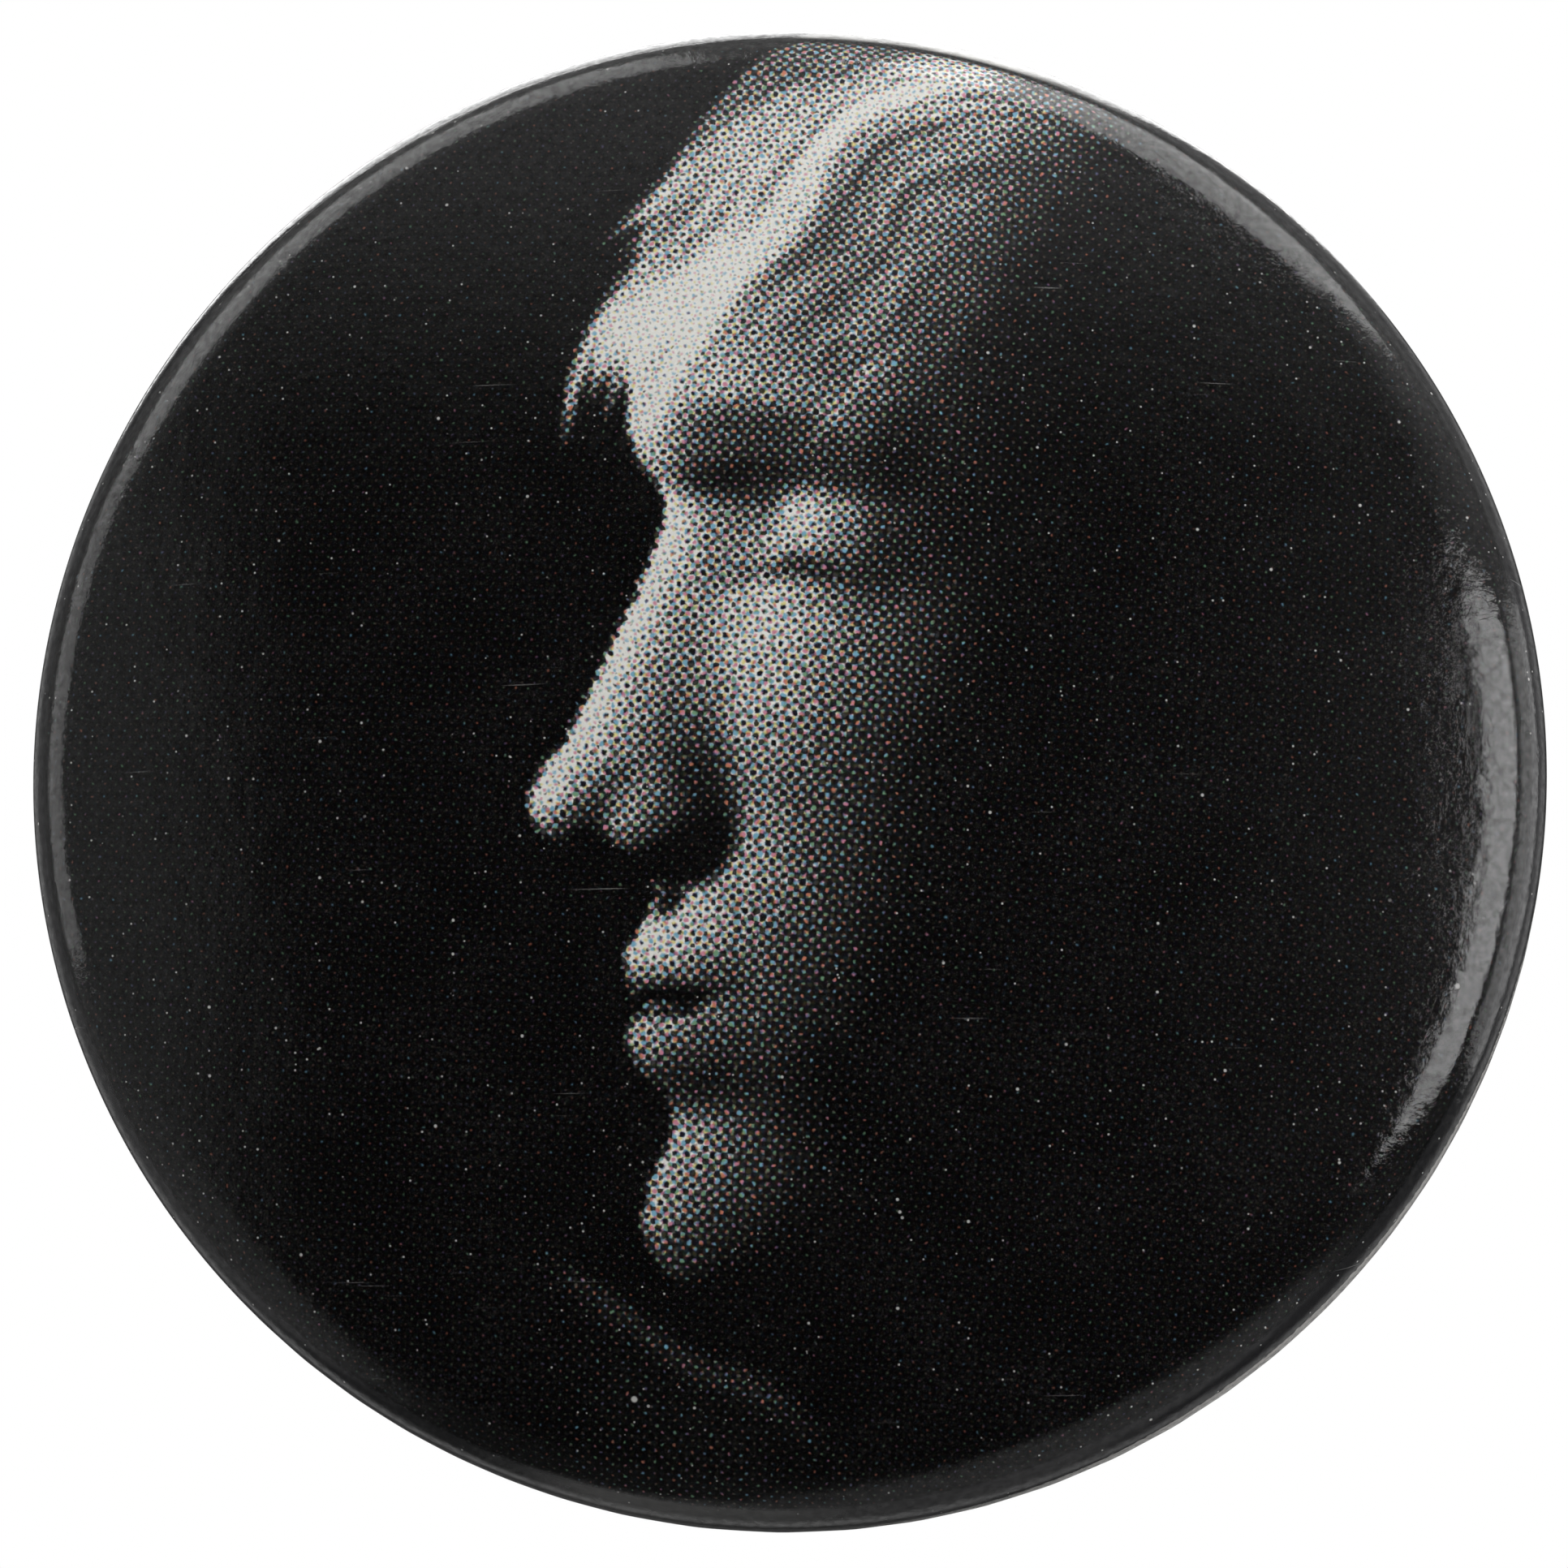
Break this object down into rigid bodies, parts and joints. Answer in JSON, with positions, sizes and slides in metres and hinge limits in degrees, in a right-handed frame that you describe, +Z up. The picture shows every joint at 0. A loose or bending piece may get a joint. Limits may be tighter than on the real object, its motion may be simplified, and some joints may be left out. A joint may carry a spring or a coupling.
{
  "type": "button badge",
  "caption": "Round domed button badge: printed picture under clear film on a pressed tinplate shell, with a collet ring and a wire pin that opens.",
  "frame": {"origin": "middle of the badge's back plane", "axes": "+Z up in the picture as worn, -Y out of the face, +Y towards the cloth, +X to the viewer's right"},
  "size_m": [0.0252, 0.005, 0.0252],
  "materials": {
    "clear_film": "clear glossy polyester film with fine scratches and dust",
    "picture_paper": "paper printed with a dark halftone picture, white where it is not printed",
    "tinplate": "pressed tinplate with fine rolling marks",
    "collet": "pressed tinplate, a little rubbed on its edges",
    "wire": "bright nickel-plated spring wire with drawing marks"
  },
  "bodies": {
    "badge": {"clear_film": "clear_film", "picture_paper": "picture_paper", "front_shell": "tinplate", "back_collet": "collet", "pin_wire": "wire"},
    "needle": {"pin_needle": "wire"}
  },
  "joints": [
    {"name": "needle_open", "type": "hinge", "parent": "badge", "child": "needle", "pos_m": [0.00714, -0.00125, -0.003], "axis": [0, 0.866, -0.5], "range_deg": [0, 60], "stiffness_Nm_per_rad": 0.0005}
  ]
}
